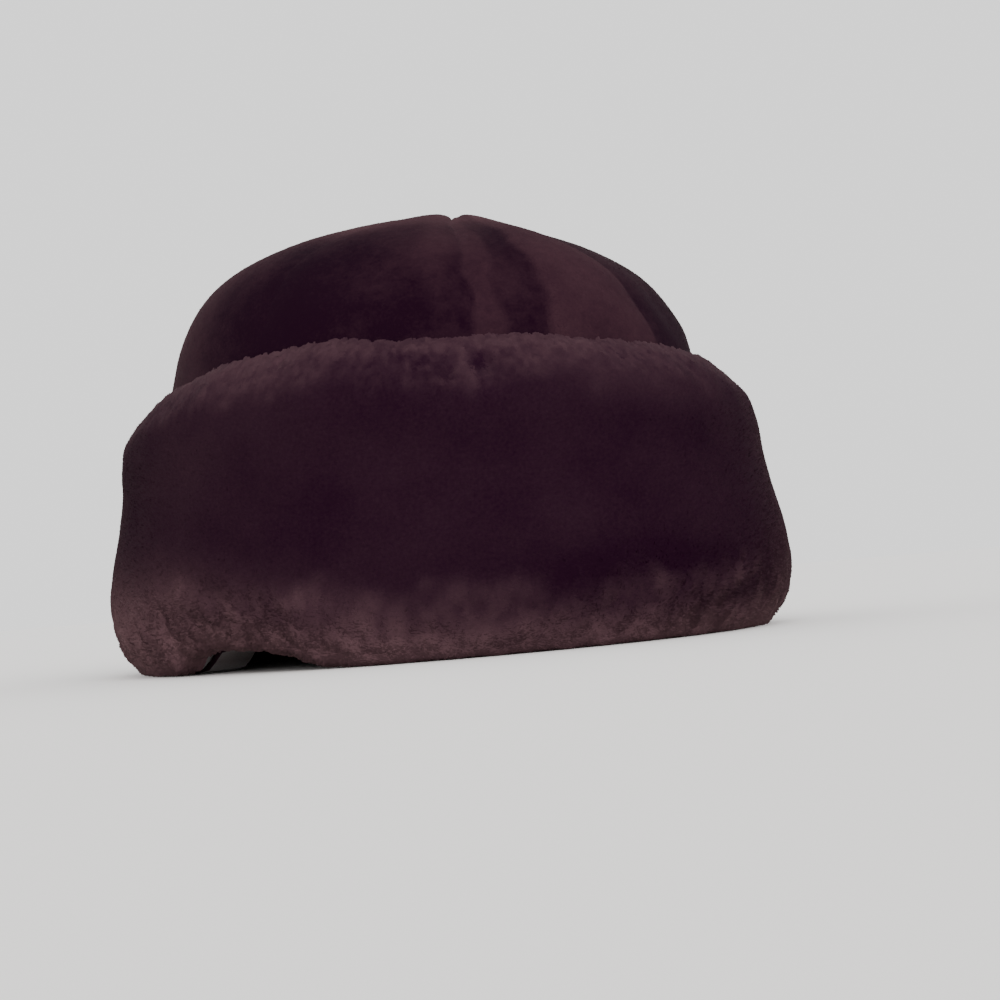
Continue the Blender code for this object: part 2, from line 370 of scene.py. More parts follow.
@dataclass(frozen=True)
class CrownForm:
    """The crown's surface: a leaning dome on an oval, with grooves at its seams."""

    seam_gap: float = 0.0003
    groove: float = 0.0007
    groove_sharpness: float = 6.0
    groove_full_reach: float = 0.012
    groove_full_swell: float = 0.0013
    swell_grows_over: float = 0.014
    wall_top: float = 0.012
    wall_hem: float = 0.0145
    wall_thickens_from: float = 0.5
    upright_from: float = 0.85
    least_reach: float = 0.0006
    junction: float = 0.104
    lean: float = math.radians(4.8)
    lean_starts: float = 0.066
    slope_step: float = 0.004
    lift_fades_over: float = 0.055
    cuff_top: float = 0.1055
    edge_fades_over: float = 0.050

    def lift(self, azimuth: Array, height: Array) -> Array:
        """How far a point near the hem is raised off the floor."""
        fade = 1.0 - ease(height / self.lift_fades_over)
        return level_at(LIFT_ROWS, signed(azimuth)) * fade

    def cuff_height(self, azimuth: Array, height: Array) -> Array:
        """A height on the cuff, with its fold's lift and its free edge's rise."""
        near_top = ease(1.0 - (self.cuff_top - height) / self.edge_fades_over)
        rise = level_at(EDGE_ROWS, signed(azimuth)) * near_top
        return height + self.lift(azimuth, height) + rise

    def leaned(self, points: Array) -> Array:
        """The points, leant over the crown's rim."""
        x, y, z = np.moveaxis(points, -1, 0)
        angle = self.lean * ease((z - self.lean_starts) / (self.junction - self.lean_starts))
        up = z - self.junction
        turned_x = x * np.cos(angle) + up * np.sin(angle)
        turned_z = self.junction - x * np.sin(angle) + up * np.cos(angle)
        return np.stack((turned_x, y, turned_z), axis=-1)

    def point(self, azimuth: Array, place: Array, outward: Array,
              across: Array | float = 0.0) -> Array:
        """Points of the crown.

        Args:
            azimuth: in degrees.
            place: from the top, 0, to the hem, 1.
            outward: the distance from the surface through the seams.
            across: over a gore, from -1 at one seam to 1 at the other.

        Returns:
            The points, in metres.
        """
        azimuth, place, outward, across = np.broadcast_arrays(azimuth, place, outward, across)
        row = along_table(CROWN_ROWS, place)
        above = along_table(CROWN_ROWS, np.maximum(place - self.slope_step, 0.0))
        below = along_table(CROWN_ROWS, np.minimum(place + self.slope_step, 1.0))
        upright = ease((place - self.upright_from) / (1.0 - self.upright_from))
        slope = np.arctan2(below[..., 1] - above[..., 1], above[..., 0] - below[..., 0])
        slope = slope * (1.0 - upright)
        reach = np.maximum(row[..., 1] + outward * np.cos(slope), self.least_reach)
        height = row[..., 0] + outward * np.sin(slope)
        angle = np.radians(azimuth)
        aside = -across * self.seam_gap / 2.0
        x = np.sin(angle) * reach + np.cos(angle) * aside + row[..., 2]
        y = -np.cos(angle) * LENGTH_TO_WIDTH * reach + np.sin(angle) * aside
        z = height + self.lift(azimuth, height)
        return self.leaned(np.stack((x, y, z), axis=-1))

    def swell(self, azimuth: Array, place: Array, across: Array) -> Array:
        """How far a gore's fleece stands off the surface through the seams."""
        row = along_table(CROWN_ROWS, place)
        full = ease(row[..., 1] / self.groove_full_reach)
        full = full * np.minimum(row[..., 3] / self.groove_full_swell, 1.0)
        rounded = (1.0 - np.abs(across) ** self.groove_sharpness) * full
        bulge = row[..., 3] * (1.0 - across * across) - self.groove * (1.0 - rounded)
        top = self.cuff_height(azimuth, self.cuff_top)
        risen = self.point(azimuth, place, 0.0)[..., 2] - top
        dents = soft_spots(CROWN_DENTS, azimuth, row[..., 0])
        return (bulge - dents) * ease(risen / self.swell_grows_over)

    def thickness(self, place: Array) -> Array:
        """The thickness of the crown's wall, which grows a little towards the hem."""
        share = (place - self.wall_thickens_from) / (1.0 - self.wall_thickens_from)
        return self.wall_top + (self.wall_hem - self.wall_top) * ease(share)

    def wall(self, azimuth: Array, height: Array, outward: float) -> Array:
        """The points at given heights on the crown's wall, or at a distance outside it."""
        azimuth, height = np.broadcast_arrays(azimuth, height)
        low = np.full(azimuth.shape, 0.5)
        high = np.full(azimuth.shape, 1.0)
        for _ in range(20):
            middle = (low + high) / 2.0
            above = self.point(azimuth, middle, outward)[..., 2] > height
            low = np.where(above, middle, low)
            high = np.where(above, high, middle)
        return self.point(azimuth, high, outward)


@dataclass(frozen=True)
class CuffForm:
    """The cuff's surface: up its outer side from the flat that it rests on to its free edge."""

    crown: CrownForm
    clearance: float = 0.0006
    seam: float = -4.0
    parting_depth: float = 0.0045
    parting_width: float = 5.5
    parting_fades_over: float = 0.034
    parting_full_stand: float = 0.012
    clump_depth: float = 0.0011
    clump_length: float = 0.012
    parting_top: float = -3.8
    parting_slant: float = 200.0
    inner_heights: tuple = (0.1045, 0.0930, 0.0715, 0.0500, 0.0250, 0.0030)

    def parting(self, height: Array) -> Array:
        """The azimuth of the line where the nap parts, which slants down to the right."""
        return self.parting_top + (self.crown.cuff_top - height) * self.parting_slant

    def clump(self, azimuth: float, height: float) -> float:
        """How far the fleece's clumps stand out or in at a place, from -1 to 1."""
        angle = math.radians(azimuth)
        reach = CROWN_ROWS[-1].reach / self.clump_length
        across = (math.sin(angle) * reach, -math.cos(angle) * reach)
        return noise.noise(Vector((*across, height / self.clump_length)))

    def outer(self, azimuths: Array, places: Array) -> Array:
        """The grid of points of the outer side.

        Args:
            azimuths: one for each column.
            places: from the inner edge of the flat underneath, 0, to the free edge, 1.

        Returns:
            A grid of points, columns by rows.
        """
        height, stand, clump = along_table(CUFF_ROWS, places).T
        height = np.maximum(height, 0.0)
        clumps = np.array([[self.clump(a, h) for h in height] for a in azimuths])
        azimuth = azimuths[:, None]
        away = signed(azimuth - self.seam) / self.parting_width
        high = ease(1.0 - (self.crown.cuff_top - height) / self.parting_fades_over)
        full = np.minimum(stand / self.parting_full_stand, 1.0)
        out = stand + clumps * self.clump_depth * clump
        out = out - self.parting_depth * np.exp(-away * away) * high * full
        out = out - soft_spots(CUFF_PITS, azimuth, height)
        lifted = self.crown.cuff_height(azimuth, height)
        points = self.crown.wall(azimuth, np.maximum(lifted, 0.001), 0.0).copy()
        angle = np.radians(azimuth)
        points[..., 0] += np.sin(angle) * out
        points[..., 1] -= np.cos(angle) * out
        points[..., 2] = lifted
        return points

    def inner(self, azimuths: Array) -> Array:
        """The grid of points of the inner side, down beside the crown."""
        azimuth = azimuths[:, None]
        heights = self.crown.cuff_height(azimuth, np.array(self.inner_heights))
        return self.crown.wall(azimuth, heights, self.clearance)


@dataclass
class Sheet:
    """A surface as a grid of points, which can be read between its points."""

    points: Array
    outward_sign: float = 1.0

    def __post_init__(self) -> None:
        """Works out the normal at each point of the grid."""
        along_u = np.gradient(self.points, axis=0)
        along_v = np.gradient(self.points, axis=1)
        self.up = unit(-along_v)
        self.normals = unit(np.cross(along_u, along_v)) * self.outward_sign

    def read(self, grid: Array, u: Array, v: Array) -> Array:
        """The values of a grid between its points, at shares u and v of its two sides."""
        columns, rows = grid.shape[:2]
        x = np.clip(u, 0.0, 1.0) * (columns - 1)
        y = np.clip(v, 0.0, 1.0) * (rows - 1)
        i = np.minimum(x.astype(int), columns - 2)
        j = np.minimum(y.astype(int), rows - 2)
        s = (x - i)[:, None]
        t = (y - j)[:, None]
        low = grid[i, j] * (1.0 - s) + grid[i + 1, j] * s
        high = grid[i, j + 1] * (1.0 - s) + grid[i + 1, j + 1] * s
        return low * (1.0 - t) + high * t

    def value(self, grid: Array, u: Array, v: Array) -> Array:
        """The same for a grid, a row or a column of single numbers."""
        return self.read(np.broadcast_to(grid, self.points.shape[:2])[..., None], u, v)[:, 0]

    def scatter(self, spacing: float, chance: np.random.Generator,
                ends: tuple[float, float] = (0.0, 1.0)) -> tuple[Array, Array]:
        """Places spread evenly over the surface.

        Args:
            spacing: how far apart they are, in metres.
            chance: the source of the small shifts from even places.
            ends: the shares of v to stay between.

        Returns:
            The shares u and v of each place.
        """
        steps = np.linalg.norm(np.diff(self.points, axis=1), axis=2).mean(axis=0)
        down = np.concatenate(([0.0], np.cumsum(steps)))
        shares = np.linspace(0.0, 1.0, len(down))
        first, last = np.interp(ends, shares, down)
        lines = np.interp(np.arange(first, last, spacing), down, shares)
        widths = np.linalg.norm(np.diff(self.points, axis=0), axis=2).sum(axis=0)
        counts = np.maximum(np.interp(lines, shares, widths) / spacing, 1.0).round().astype(int)
        u = np.concatenate([(np.arange(n) + 0.5) / n for n in counts])
        v = np.repeat(lines, counts)
        u_step = np.repeat(1.0 / counts, counts)
        v_step = np.repeat(np.gradient(lines), counts)
        u = u + (chance.random(len(u)) - 0.5) * u_step
        v = v + (chance.random(len(v)) - 0.5) * np.abs(v_step)
        return np.clip(u, 0.0, 1.0), np.clip(v, 0.0, 1.0)


@dataclass
class Tufts:
    """Tufts of pile, each a narrow blunt leaf from its root to its tip, facing outwards."""

    roots: Array
    tips: Array
    widths: Array
    tones: Array
    normals: Array

    SIDES = ((0, 1, 2), (0, 2, 3))
    # The roots are a little darker than the tips: partly the underfur's own colour, partly painted
    # shade between the hairs, which cast no shadows
    NEAR_TIP = (0.90, 0.90, 1.0, 1.0)
    BLUNT = 0.60
    LEAST_HEIGHT = 0.0002
    TURN = 0.12

    def arrays(self, chance: np.random.Generator) -> tuple[Array, Array, Array]:
        """The points, the triangles and the normals of all the tufts.

        Args:
            chance: the source of each tuft's turn about itself.

        Returns:
            The points, the triangles by their numbers, and a normal for each point, which is
            near that of the fleece's surface, so that the tufts melt into one nap.
        """
        axis = unit(self.tips - self.roots)
        aside = unit(np.cross(self.normals, axis)) + self.TURN * chance.normal(size=axis.shape)
        aside = unit(aside - axis * (aside * axis).sum(axis=1)[:, None])
        outward = (np.cross(axis, aside) * self.normals).sum(axis=1)
        half = aside * (np.where(outward < 0.0, -0.5, 0.5) * self.widths)[:, None]
        points = np.stack((self.roots + half, self.roots - half,
                           self.tips - half * self.BLUNT, self.tips + half * self.BLUNT), axis=1)
        start = np.arange(len(axis))[:, None, None] * len(self.NEAR_TIP)
        points[..., 2] = np.maximum(points[..., 2], self.LEAST_HEIGHT)
        normals = np.repeat(self.normals, len(self.NEAR_TIP), axis=0)
        return points.reshape(-1, 3), (start + np.array(self.SIDES)).reshape(-1, 3), normals


@dataclass(frozen=True)
class Pile:
    """How a fleece's pile grows: its sizes in metres, its slant and its locks.

    A hair is some 0.03 mm thick, too fine to show, so each tuft stands for a small bundle.
    """

    spacing: float
    depth: float
    width: float
    proud: float
    slant: float
    scatter: float
    lock: float
    gather: float
    loose_lock: float = 0.0042
    loose_gather: float = 0.16
    loose_swell: float = 0.0007
    loose_reach: float = 1.6
    loose_slant: float = 1.4
    loose_scatter: float = 0.3
    loose_step: float = 0.30
    uneven_from_place: float = 0.06
    uneven_from_tuft: float = 0.05
    uneven_at_least: float = 0.6
    shortest: float = 0.6
    narrowest: float = 0.85
    wider_by: float = 0.3

    LOCKS_APART = 1.7

    def grow(self, sheet: Sheet, u: Array, v: Array, inset: Array,
             combed: Array, mottle: Mottle, chance: np.random.Generator,
             fluff: Array) -> tuple[Array, Array, Array]:
        """Tufts on a sheet, from below its surface to just outside it.

        Args:
            sheet: the surface that the tips reach.
            u: the share of the sheet's first side of each tuft.
            v: the share of its second side.
            inset: how far below the surface each root is, in metres.
            combed: the way the nap leans along the surface, for each tuft.
            mottle: the slow changes from place to place.
            chance: the small changes from tuft to tuft.
            fluff: how loose the pile is at each tuft, from 0 to 1.

        Returns:
            The roots, the tips and the widths.
        """
        surface = sheet.read(sheet.points, u, v)
        normal = unit(sheet.read(sheet.normals, u, v))
        roots = surface - normal * inset[:, None]
        pull, _ = mottle.lock(roots, self.lock)
        pull -= normal * (pull * normal).sum(axis=1)[:, None]
        wide, value = mottle.lock(roots, self.loose_lock)
        wide -= normal * (wide * normal).sum(axis=1)[:, None]
        inside = 1.0 - 2.0 * np.linalg.norm(wide, axis=1) / self.loose_lock
        stray = chance.normal(size=roots.shape)
        stray -= normal * (stray * normal).sum(axis=1)[:, None]
        reach = inset + self.proud * (1.0 + self.loose_reach * fluff)
        uneven = self.uneven_from_place * mottle.at(roots, self.lock * self.LOCKS_APART)
        uneven = uneven + self.uneven_from_tuft * chance.normal(size=len(roots))
        steps = self.loose_step * value * fluff
        reach = reach * (1.0 + uneven * (self.uneven_at_least + fluff) + steps)
        reach = reach + self.loose_swell * inside * fluff
        slanted = combed * (self.slant * (1.0 + self.loose_slant * fluff))[:, None]
        strayed = stray * self.scatter * (1.0 + self.loose_scatter * fluff)[:, None]
        length = np.maximum(reach, inset * self.shortest)[:, None]
        tips = roots + unit(normal + (slanted + strayed)) * length
        tips += pull * self.gather + wide * (self.loose_gather * fluff)[:, None]
        widths = self.width * (self.narrowest + self.wider_by * chance.random(len(roots)))
        return roots, tips, widths


def add_object(name: str, data: bpy.types.ID) -> bpy.types.Object:
    """A new object with its data, in the scene."""
    made = bpy.data.objects.new(name, data)
    bpy.context.scene.collection.objects.link(made)
    return made


def linear(hex_colour: str) -> tuple[float, float, float, float]:
    """An sRGB hex colour as linear light, with full alpha."""
    parts = [int(hex_colour[i:i + 2], 16) / 255.0 for i in (1, 3, 5)]
    light = [p / 12.92 if p <= 0.04045 else ((p + 0.055) / 1.055) ** 2.4 for p in parts]
    return (*light, 1.0)


def add_node(tree: bpy.types.NodeTree, kind: str, settings: dict | None = None,
             links: dict | None = None) -> bpy.types.Node:
    """One node, with its settings and what feeds it.

    Args:
        tree: the material's tree.
        kind: the node's type, without the words that all types start with.
        settings: a value for each of its properties, or of its inputs by name or number.
        links: an output socket for each of its inputs, by name or number.

    Returns:
        The node.
    """
    node = tree.nodes.new("ShaderNode" + kind)
    for key, value in (settings or {}).items():
        if isinstance(key, str) and hasattr(node, key):
            setattr(node, key, value)
        else:
            node.inputs[key].default_value = value
    for key, source in (links or {}).items():
        tree.links.new(source, node.inputs[key])
    return node


def new_material(name: str) -> tuple[bpy.types.Material, bpy.types.NodeTree]:
    """A material with an empty tree, and the tree."""
    made = bpy.data.materials.new(name)
    made.use_nodes = True
    made.node_tree.nodes.clear()
    return made, made.node_tree


class Clouds(NamedTuple):
    """An uneven tone: the size of its clouds in metres, their fineness and their share of it."""

    size: float
    detail: float
    roughness: float
    tone: float


@dataclass(frozen=True)
class ShearedPile:
    """Dyed and sheared sheepskin pile, brushed: dark down its tufts, partly the underfur's own
    colour and partly painted shade between the hairs, and lighter at the tips.

    High roughness and a little sheen give the eye a soft velvet that is lighter at its edges.
    """

    name: str
    root: str
    dark: str
    light: str
    roughness: float = 0.88
    sheen: float = 0.05
    sheen_roughness: float = 0.30
    sheen_colour: str = "#C9A9A6"
    specular: float = 0.04
    clouds: tuple = (Clouds(size=0.018, detail=3.0, roughness=0.55, tone=0.09),
                     Clouds(size=0.0011, detail=1.0, roughness=0.50, tone=0.10))

    def material(self) -> bpy.types.Material:
        """The finish as a material, which reads each tuft's tone and how near its tip is."""
        made, tree = new_material(self.name)
        place = add_node(tree, "TexCoord")
        tone, near_tip, nap = (add_node(tree, "Attribute", {"attribute_name": name})
                               for name in ("tone", "near_tip", "nap"))
        facing = add_node(tree, "VectorTransform",
                          {"vector_type": "NORMAL", "convert_from": "OBJECT",
                           "convert_to": "WORLD"}, {"Vector": nap.outputs["Vector"]})
        noises = [add_node(tree, "TexNoise",
                           {"Scale": 1.0 / each.size, "Detail": each.detail,
                            "Roughness": each.roughness}, {"Vector": place.outputs["Object"]})
                  for each in self.clouds]
        blotchy, grainy = (add_node(tree, "Math",
                                    {"operation": "MULTIPLY_ADD", 1: each.tone,
                                     2: -each.tone / 2.0}, {0: noisy.outputs["Fac"]})
                           for each, noisy in zip(self.clouds, noises))
        uneven = add_node(tree, "Math", {"operation": "ADD"},
                          {0: blotchy.outputs[0], 1: grainy.outputs[0]})
        share = add_node(tree, "Math", {"operation": "ADD", "use_clamp": True},
                         {0: tone.outputs["Fac"], 1: uneven.outputs[0]})
        tips = add_node(tree, "Mix",
                        {"data_type": "RGBA", 6: linear(self.dark), 7: linear(self.light)},
                        {0: share.outputs[0]})
        whole = add_node(tree, "Mix",
                         {"data_type": "RGBA", 6: linear(self.root)},
                         {0: near_tip.outputs["Fac"], 7: tips.outputs[2]})
        shader = add_node(tree, "BsdfPrincipled", {
            "Roughness": self.roughness,
            "Specular IOR Level": self.specular,
            "Sheen Weight": self.sheen,
            "Sheen Roughness": self.sheen_roughness,
            "Sheen Tint": linear(self.sheen_colour),
        }, {"Base Color": whole.outputs[2], "Normal": facing.outputs["Vector"]})
        add_node(tree, "OutputMaterial", links={"Surface": shader.outputs[0]})
        return made


@dataclass(frozen=True)
class NappedSkin:
    """The flesh side of the sheepskin, buffed to a suede.

    A fine nap and slow clouds give the eye a matt, slightly uneven leather.
    """

    name: str = "sheepskin_buffed_suede"
    dark: str = "#2A1D1F"
    light: str = "#4A3735"
    roughness: float = 0.92
    specular: float = 0.2
    sheen: float = 0.2
    clouds: tuple = (Clouds(size=0.022, detail=4.0, roughness=0.6, tone=0.65),
                     Clouds(size=0.0009, detail=2.0, roughness=0.7, tone=0.35))
    nap_height: float = 0.0004
    nap_strength: float = 0.35

    def material(self) -> bpy.types.Material:
        """The finish as a material."""
        made, tree = new_material(self.name)
        place = add_node(tree, "TexCoord")
        slow, nap = (add_node(tree, "TexNoise",
                              {"Scale": 1.0 / each.size, "Detail": each.detail,
                               "Roughness": each.roughness}, {"Vector": place.outputs["Object"]})
                     for each in self.clouds)
        both = add_node(tree, "Mix", {"data_type": "FLOAT", 0: self.clouds[1].tone},
                        {2: slow.outputs["Fac"], 3: nap.outputs["Fac"]})
        colour = add_node(tree, "Mix",
                          {"data_type": "RGBA", 6: linear(self.dark), 7: linear(self.light)},
                          {0: both.outputs[0]})
        bump = add_node(tree, "Bump",
                        {"Strength": self.nap_strength, "Distance": self.nap_height},
                        {"Height": nap.outputs["Fac"]})
        shader = add_node(tree, "BsdfPrincipled", {
            "Roughness": self.roughness,
            "Specular IOR Level": self.specular,
            "Sheen Weight": self.sheen,
        }, {"Base Color": colour.outputs[2], "Normal": bump.outputs["Normal"]})
        add_node(tree, "OutputMaterial", links={"Surface": shader.outputs[0]})
        return made


@dataclass(frozen=True)
class MattPaint:
    """Pale emulsion paint, rolled on: it gives the eye an even floor with no shine."""

    name: str = "floor_matt_paint"
    colour: str = "#F4F2F0"
    roughness: float = 0.85
    specular: float = 0.1

    def material(self) -> bpy.types.Material:
        """The finish as a material."""
        made = bpy.data.materials.new(self.name)
        made.use_nodes = True
        shader = made.node_tree.nodes["Principled BSDF"]
        shader.inputs["Base Color"].default_value = linear(self.colour)
        shader.inputs["Roughness"].default_value = self.roughness
        shader.inputs["Specular IOR Level"].default_value = self.specular
        return made


@dataclass
class Piece:
    """A mesh under way, as arrays: the quads of a skin, or the tufts of a pile."""

    name: str
    slot: Fleece
    nodes: tuple[str, ...]

    CELL_MARGIN = 0.08
    GRID_MARGINS = (0.02, 0.01)

    def __post_init__(self) -> None:
        """Starts with nothing."""
        self.parts: list[tuple] = []
        self.has_tufts = False

    def add_surface(self, points: Array, face: Face, tones: Array | float,
                    depths: Array | float, flip: bool = False) -> None:
        """Adds a grid of quads.

        Args:
            points: the grid, columns by rows.
            face: which side of the sheepskin it is.
            tones: how light the pile is at each point.
            depths: how near the pile's tips each point is, from 0 to 1.
            flip: whether its faces are turned over.
        """
        shape = points.shape[:2]
        number = np.arange(shape[0] * shape[1]).reshape(shape)
        quads = np.stack((number[:-1, :-1], number[1:, :-1], number[1:, 1:], number[:-1, 1:]),
                         axis=-1).reshape(-1, 4)
        if flip:
            quads = quads[:, ::-1]
        spans = [np.linspace(margin, 1.0 - margin, count)
                 for margin, count in zip(self.GRID_MARGINS, shape)]
        places = np.stack(np.meshgrid(*spans, indexing="ij"), axis=-1).reshape(-1, 2)
        ways = Sheet(points, -1.0 if flip else 1.0).normals.reshape(-1, 3)
        tones = np.broadcast_to(tones, shape).ravel()
        depths = np.broadcast_to(depths, shape).ravel()
        self.parts.append((points.reshape(-1, 3), quads, face, tones, depths, ways,
                           places[quads.ravel()]))

    def add_tufts(self, tufts: Tufts, chance: np.random.Generator) -> None:
        """Adds the tufts of a pile, each turned a little about itself."""
        points, sides, ways = tufts.arrays(chance)
        count = len(tufts.roots)
        tones = np.repeat(tufts.tones, len(Tufts.NEAR_TIP))
        depths = np.tile(Tufts.NEAR_TIP, count)
        self.parts.append((points, sides, Face.PILE, tones, depths, ways, self.cells(count)))
        self.has_tufts = True

    def build(self, materials: list[bpy.types.Material]) -> None:
        """Makes the object, with the pile's and the skin's materials, riding on the hat."""
        points, faces, sides, tones, depths, ways, places = zip(*self.parts)
        starts = np.cumsum([0] + [len(part) for part in points[:-1]])
        corners = [(part + start).ravel() for part, start in zip(faces, starts)]
        sizes = [np.full(len(part), part.shape[1]) for part in faces]
        slots = [np.full(len(part), side.value) for part, side in zip(faces, sides)]
        baked = [(part + (index, 0.0)) / (len(places), 1.0) for index, part in enumerate(places)]
        mesh = self.mesh(points, corners, sizes, slots, baked)
        for name, values in (("tone", tones), ("near_tip", depths)):
            layer = mesh.attributes.new(name, "FLOAT", "POINT")
            layer.data.foreach_set("value", np.concatenate(values).astype(np.float32))
        layer = mesh.attributes.new("nap", "FLOAT_VECTOR", "POINT")
        layer.data.foreach_set("vector", np.concatenate(ways).astype(np.float32).ravel())
        mesh.normals_split_custom_set_from_vertices(np.concatenate(ways))
        for material in materials:
            mesh.materials.append(material)
        made = add_object(self.name, mesh)
        if self.has_tufts:
            # Light sinks between the hairs of a pile, so the tufts shade each other very little
            made.visible_shadow = False
            made.visible_diffuse = False
        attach(made, "root")
        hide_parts(*self.nodes)
        LOG.info("%s: %d faces", self.name, len(mesh.polygons))

    def cells(self, count: int) -> Array:
        """A small cell of the bake map for each side of each tuft."""
        across = math.ceil(math.sqrt(count))
        number = np.arange(count)
        column = (number % across)[:, None, None]
        row = (number // across)[:, None, None]
        side = np.arange(len(Tufts.SIDES))[None, :, None]
        low = self.CELL_MARGIN
        high = 1.0 - self.CELL_MARGIN
        in_side = np.array([low, high, 0.5])[None, None, :]
        up = np.array([low, low, high])[None, None, :]
        u = (column + (side + in_side) / len(Tufts.SIDES)) / across
        v = (row + up + np.zeros_like(side)) / across
        return np.stack(np.broadcast_arrays(u, v), axis=-1).reshape(-1, 2)

    def mesh(self, points: list, corners: list, sizes: list, slots: list,
             places: list) -> bpy.types.Mesh:
        """A mesh from arrays of points, face corners, face sizes, materials and bake places."""
        mesh = bpy.data.meshes.new(self.name)
        co = np.concatenate(points).astype(np.float32)
        loops = np.concatenate(corners).astype(np.int32)
        size = np.concatenate(sizes).astype(np.int32)
        mesh.vertices.add(len(co))
        mesh.vertices.foreach_set("co", co.ravel())
        mesh.loops.add(len(loops))
        mesh.loops.foreach_set("vertex_index", loops)
        mesh.polygons.add(len(size))
        mesh.polygons.foreach_set("loop_start", np.concatenate(([0], np.cumsum(size)[:-1])))
        mesh.polygons.foreach_set("loop_total", size)
        mesh.polygons.foreach_set("material_index", np.concatenate(slots).astype(np.int32))
        mesh.update(calc_edges=True)
        layer = mesh.uv_layers.new(name=BAKE_MAP)
        layer.data.foreach_set("uv", np.concatenate(places).astype(np.float32).ravel())
        mesh.validate()
        mesh.shade_smooth()
        return mesh


@dataclass
class Gore:
    """One gore of the crown: skin inside, pile outside, from the top to the hem.

    Each of its flecks is how far a slow change of tone goes, and its size in metres.
    """

    number: int
    form: CrownForm
    pile: Pile
    materials: list[bpy.types.Material]
    mottle: Mottle
    columns: int = 49
    rows: int = 151
    thin: int = 2
    seed: int = 100
    hidden: float = 0.010
    least_share: float = 0.25
    relief: float = 0.40
    fluff: float = 0.15
    depth_tone: float = 0.14
    # painted sheen, lighter towards the crown's top
    crest_painted_sheen: float = 0.23
    crest: Rise = Rise(0.150, 0.013)
    wander: float = 2.0
    wander_size: float = 0.011
    flecks: tuple = ((0.05, 0.016), (0.03, 0.0024))
    swirl: float = 0.25
    swirl_size: float = 0.030
    seam_swirl: float = 0.4
    seam_sharpness: int = 9

    def __post_init__(self) -> None:
        """Lays out the columns across the gore, closer together at its seams, and the rows."""
        self.node = f"crown_gore_{self.number}"
        self.across = np.sin(np.linspace(-math.pi / 2.0, math.pi / 2.0, self.columns))[:, None]
        self.azimuth = 360.0 / GORES * (self.number - 0.5) + self.across * 180.0 / GORES
        self.place = np.linspace(0.0, 1.0, self.rows)[None, :]

    def tones(self, points: Array, azimuth: Array) -> Array:
        """How light the pile is painted at places on the crown, painted sheen and shade included.
        """
        wander = self.mottle.at(points, self.wander_size) * self.wander
        # The steps and patches are partly painted sheen of the nap and painted shade in the folds
        # and above the cuff; the crest gets painted sheen
        tone = level_at(CROWN_SHEEN_AND_SHADE_TONES, signed(azimuth + wander))
        tone = tone + soft_spots(CROWN_SHADE_AND_SHEEN_PATCHES, azimuth, points[:, 2])
        tone = tone + self.crest_painted_sheen * self.crest.at(points[:, 2])
        for reach, size in self.flecks:
            tone = tone + reach * self.mottle.at(points, size)
        return np.clip(tone, 0.0, 1.0)

    def build(self) -> None:
        """Makes the gore's skin and its pile."""
        chance = np.random.default_rng(self.seed + self.number)
        out = self.form.swell(self.azimuth, self.place, self.across)
        sheet = Sheet(self.form.point(self.azimuth, self.place, out, self.across), -1.0)
        top = self.form.cuff_height(self.azimuth, self.form.cuff_top)
        shown = ease((sheet.points[..., 2] - top + self.hidden) / self.hidden)
        inset = self.pile.depth * shown
        self.skin(sheet, shown, inset).build(self.materials)
        last = float(self.place[0, np.argmax(shown.min(axis=0) <= 0.0)])
        u, v = sheet.scatter(self.pile.spacing, chance, (0.0, last))
        kept = sheet.value(inset, u, v) > self.pile.depth * self.least_share
        u, v = u[kept], v[kept]
        here = sheet.read(sheet.points, u, v)
        rising = unit(sheet.read(sheet.up, u, v))
        sideways = np.cross(rising, sheet.read(sheet.normals, u, v))
        swirl = self.mottle.at(here, self.swirl_size)[:, None]
        seam = sheet.value(self.across, u, v)[:, None]
        combed = unit(rising + sideways * self.swirl * swirl)
        combed = combed + sideways * self.seam_swirl * seam ** self.seam_sharpness
        roots, tips, widths = self.pile.grow(sheet, u, v, sheet.value(inset, u, v), combed,
                                             self.mottle, chance, np.full(len(u), self.fluff))
        smooth = Sheet(self.form.point(self.azimuth, self.place, 0.0), -1.0)
        normals = unit(smooth.normals * (1.0 - self.relief) + sheet.normals * self.relief)
        normals = unit(sheet.read(normals, u, v))
        tones = self.tones(here, sheet.value(self.azimuth, u, v))
        pile = Piece(f"{self.node}_pile", Fleece.CROWN, (self.node,))
        pile.add_tufts(Tufts(roots, tips, widths, tones, normals), chance)
        pile.build(self.materials)

    def skin(self, sheet: Sheet, shown: Array, inset: Array) -> Piece:
        """The gore's skin as a closed piece: outside, inside, two seams, hem and crest.

        Args:
            sheet: the outer surface of the pile.
            shown: how far each point lies above the cuff's edge, from 0 to 1.
            inset: how far the skin lies below the pile, in metres.

        Returns:
            The piece, not yet built.
        """
        skin = sheet.points - sheet.normals * inset[..., None]
        inner = self.form.point(self.azimuth, self.place, -self.form.thickness(self.place),
                                self.across)
        around = np.repeat(self.azimuth, self.rows)
        tones = self.tones(skin.reshape(-1, 3), around).reshape(shown.shape)
        # The skin seen between the tufts is a little darker, towards the roots' colour: partly the
        # underfur and partly painted shade under the pile
        depths = 1.0 - shown * self.depth_tone
        skin, inner, tones, depths = (
            grid[::self.thin, ::self.thin] for grid in (skin, inner, tones, depths))
        piece = Piece(f"{self.node}_skin", Fleece.CROWN, (self.node,))
        piece.add_surface(skin, Face.PILE, tones, depths, flip=True)
        piece.add_surface(inner, Face.SKIN, 0.0, 0.0)
        for edge in (0, -1):
            rim = np.stack((skin[edge], inner[edge]), axis=0)
            piece.add_surface(rim, Face.SKIN, 0.0, 0.0, flip=edge == 0)
        for row in (-1, 0):
            end = np.stack((skin[:, row], inner[:, row]), axis=1)
            piece.add_surface(end, Face.SKIN, 0.0, 0.0, flip=row == -1)
        return piece


